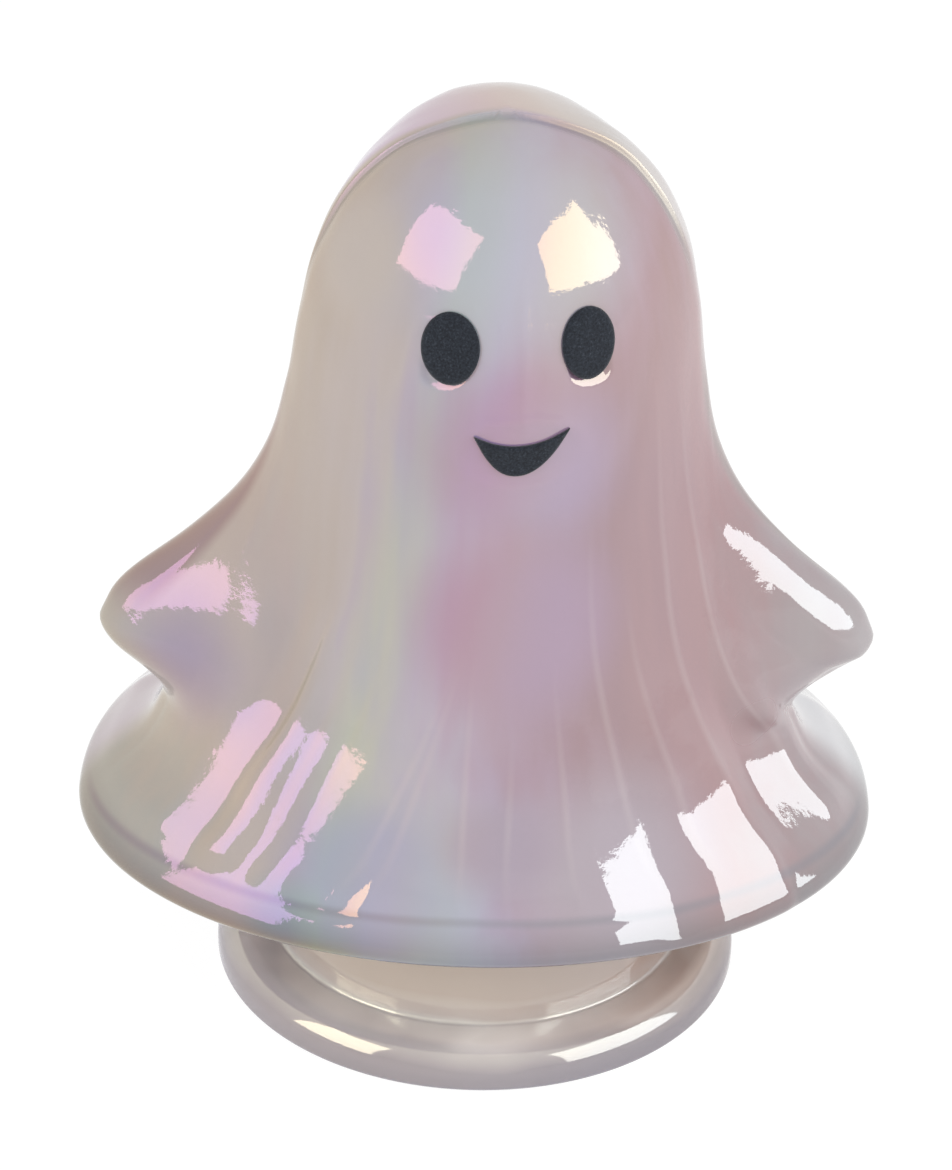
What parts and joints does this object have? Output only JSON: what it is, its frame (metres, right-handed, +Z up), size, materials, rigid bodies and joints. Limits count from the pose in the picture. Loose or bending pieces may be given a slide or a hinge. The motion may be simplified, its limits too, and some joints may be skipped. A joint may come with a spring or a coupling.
{
  "type": "lit glass ghost figure",
  "caption": "Pearl-lustre glass ghost with flocked face, bonded on a round glass pedestal that holds a battery light unit with a hinged door and slide switch.",
  "frame": {"origin": "centre of the pedestal's underside, on the plane that the figure stands on", "axes": "+Z up, -Y towards the front that the face is on, +X to the viewer's right"},
  "size_m": [0.163, 0.1335, 0.199],
  "materials": {
    "pearl_glass": "milky blown glass with an iridescent pearl lustre",
    "pedestal_glass": "milky pressed glass with an iridescent pearl lustre",
    "black_flock": "matt black flock",
    "clear_silicone": "translucent silicone",
    "white_abs": "moulded, fine spark texture",
    "cell_sleeve": "printed shrink sleeve on a steel can",
    "plated_steel": "nickel plated",
    "board_laminate": "solder resist",
    "black_epoxy": "moulded",
    "lamp_lens": "clear epoxy",
    "frosted_plastic": "frosted",
    "grey_nylon": "moulded",
    "black_nylon": "moulded",
    "red_pvc": "extruded sleeve",
    "black_pvc": "extruded sleeve",
    "yellow_pvc": "extruded sleeve"
  },
  "bodies": {
    "figure": {"ghost_shell": "pearl_glass", "eye_left": "black_flock", "eye_right": "black_flock", "mouth": "black_flock", "seat_seal": "clear_silicone", "pedestal": "pedestal_glass", "light_housing": "white_abs", "base_gasket": "clear_silicone", "battery_1": "cell_sleeve", "battery_2": "cell_sleeve", "battery_3": "cell_sleeve", "contact_springs": "plated_steel", "contact_plates": "plated_steel", "circuit_board": "board_laminate", "timer_chip": "black_epoxy", "resistor": "black_epoxy", "led_lamp": "lamp_lens", "light_diffuser": "frosted_plastic", "board_screws": "plated_steel", "switch_body": "grey_nylon", "wire_red": "red_pvc", "wire_black": "black_pvc", "switch_wires": "yellow_pvc"},
    "door": {"battery_door": "white_abs"},
    "slider": {"switch_slider": "black_nylon"}
  },
  "joints": [
    {"name": "door_hinge", "type": "hinge", "parent": "figure", "child": "door", "pos_m": [-0.0284, 0, 0.0036], "axis": [0, 1, 0], "range_deg": [0, 90]},
    {"name": "switch_slide", "type": "slide", "parent": "figure", "child": "slider", "axis": [1, 0, 0], "range_m": [-0.002, 0.002]}
  ]
}
